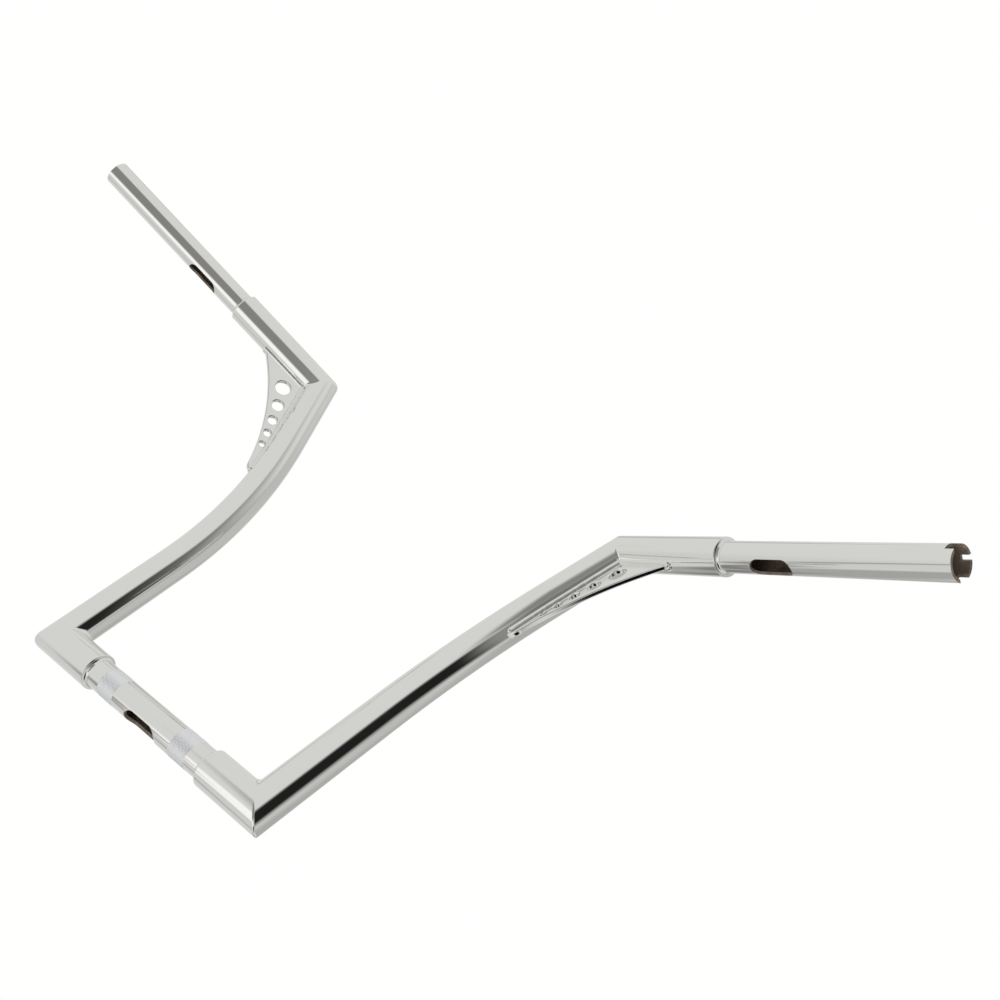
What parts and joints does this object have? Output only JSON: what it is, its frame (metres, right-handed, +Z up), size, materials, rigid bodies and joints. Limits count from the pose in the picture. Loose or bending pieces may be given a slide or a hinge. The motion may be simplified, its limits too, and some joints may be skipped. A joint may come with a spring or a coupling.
{
  "type": "ape hanger handlebar",
  "caption": "Tall welded motorcycle handlebar in chromed steel tube, with swept grips, perforated corner gussets, knurled clamp bands and wiring slots.",
  "frame": {"origin": "centre of the clamp tube, midway between the two knurled bands", "axes": "+X to the rider's right along the clamp tube, +Y forward, +Z up along the risers as the bar is mounted"},
  "size_m": [0.9241, 0.2354, 0.39],
  "materials": {
    "chrome_tube": "mirror chrome plating on polished steel tube",
    "chrome_gusset": "bright chrome plating on cut plate",
    "chrome_weld": "chrome plating over weld metal"
  },
  "bodies": {
    "root": {"clamp_tube": "chrome_tube", "left_lower_sleeve": "chrome_tube", "right_lower_sleeve": "chrome_tube", "left_riser": "chrome_tube", "right_riser": "chrome_tube", "left_upper_sleeve": "chrome_tube", "right_upper_sleeve": "chrome_tube", "left_grip_tube": "chrome_tube", "right_grip_tube": "chrome_tube", "left_gusset": "chrome_gusset", "right_gusset": "chrome_gusset", "left_clamp_weld": "chrome_weld", "right_clamp_weld": "chrome_weld", "left_lower_corner_weld": "chrome_weld", "right_lower_corner_weld": "chrome_weld", "left_upper_corner_weld": "chrome_weld", "right_upper_corner_weld": "chrome_weld", "left_grip_weld": "chrome_weld", "right_grip_weld": "chrome_weld", "left_gusset_welds": "chrome_weld", "right_gusset_welds": "chrome_weld"}
  },
  "joints": []
}
